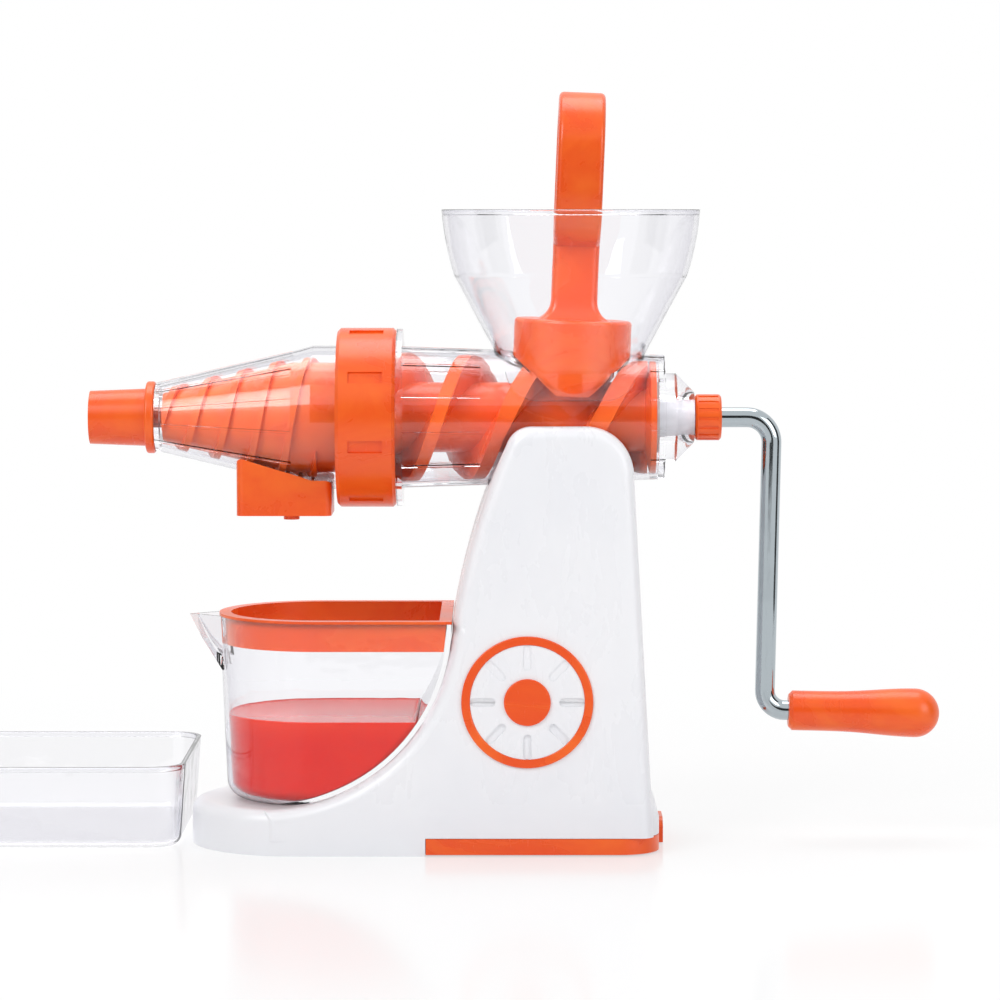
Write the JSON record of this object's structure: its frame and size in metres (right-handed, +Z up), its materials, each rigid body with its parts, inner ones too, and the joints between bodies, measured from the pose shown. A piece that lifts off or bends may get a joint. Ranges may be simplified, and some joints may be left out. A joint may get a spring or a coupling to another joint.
{
  "type": "manual juicer",
  "caption": "Hand-cranked screw juicer: clear barrel, cone and hopper on a white stand, with pusher, crank, bayonet ring, spout, cup and pulp tray.",
  "frame": {"origin": "middle of the base's footprint on the counter", "axes": "+X along the screw towards the crank, +Z up, and the user looks along +Y"},
  "size_m": [0.4145, 0.1286, 0.3002],
  "materials": {
    "white_plastic": "smooth moulded plastic with a soft gloss",
    "orange_plastic": "glossy moulded plastic",
    "clear_plastic": "clear polished plastic",
    "chrome": "polished plating",
    "steel": "plain steel",
    "brass": "turned brass",
    "rubber": "soft matt rubber"
  },
  "bodies": {
    "stand": {"stand_shell": "white_plastic", "base_plate": "white_plastic", "plate_screws": "steel", "suction_pad": "rubber", "badge_ring": "orange_plastic", "badge_disc": "white_plastic", "badge_cap": "orange_plastic", "barrel": "clear_plastic", "barrel_screw": "steel", "hopper": "clear_plastic", "front_cone": "clear_plastic", "seal_ring": "rubber", "juice_spout": "orange_plastic", "rear_bush": "white_plastic", "rear_seal": "rubber"},
    "ring": {"locking_ring": "orange_plastic"},
    "nozzle": {"outlet_nozzle": "orange_plastic"},
    "crank": {"auger": "orange_plastic", "auger_insert": "brass", "crank_rod": "chrome", "crank_nut": "orange_plastic", "grip_clip": "steel"},
    "crank_grip": {"grip": "orange_plastic"},
    "plunger": {"pusher": "orange_plastic"},
    "juice_cup": {"cup": "clear_plastic"},
    "cup_ring": {"cup_collar": "orange_plastic"},
    "tray": {"pulp_tray": "clear_plastic"},
    "slide": {"suction_slide": "orange_plastic"},
    "stem": {"suction_stem": "steel", "stem_pin": "steel"}
  },
  "joints": [
    {"name": "crank_turn", "type": "hinge", "parent": "stand", "child": "crank", "pos_m": [0, 0, 0.1705], "axis": [1, 0, 0], "continuous": true},
    {"name": "grip_spin", "type": "hinge", "parent": "crank", "child": "crank_grip", "pos_m": [0.13693, 0, 0.05253], "axis": [0.9998, 0, -0.0209], "continuous": true},
    {"name": "ring_turn", "type": "hinge", "parent": "stand", "child": "ring", "pos_m": [0, 0, 0.1705], "axis": [1, 0, 0], "range_deg": [0, 60]},
    {"name": "nozzle_pull", "type": "slide", "parent": "stand", "child": "nozzle", "axis": [-1, 0, 0], "range_m": [0, 0.025]},
    {"name": "pusher_lift", "type": "slide", "parent": "stand", "child": "plunger", "axis": [0.0401, 0, 0.9992], "range_m": [0, 0.08]},
    {"name": "cup_slide", "type": "slide", "parent": "stand", "child": "juice_cup", "axis": [0, -1, 0], "range_m": [0, 0.1]},
    {"name": "collar_lift", "type": "slide", "parent": "juice_cup", "child": "cup_ring", "axis": [0, 0, 1], "range_m": [0, 0.02]},
    {"name": "tray_slide", "type": "slide", "parent": "stand", "child": "tray", "axis": [-1, 0, 0], "range_m": [0, 0.06]},
    {"name": "suction_pull", "type": "slide", "parent": "stand", "child": "slide", "axis": [1, 0, 0], "range_m": [0, 0.012]},
    {"name": "stem_drop", "type": "slide", "parent": "stand", "child": "stem", "axis": [0, 0, 1], "range_m": [-0.004, 0], "deforming": ["suction_pad"]}
  ],
  "couplings": [
    {"joint": "stem_drop", "follows": "suction_pull", "ratio": -0.33333}
  ]
}
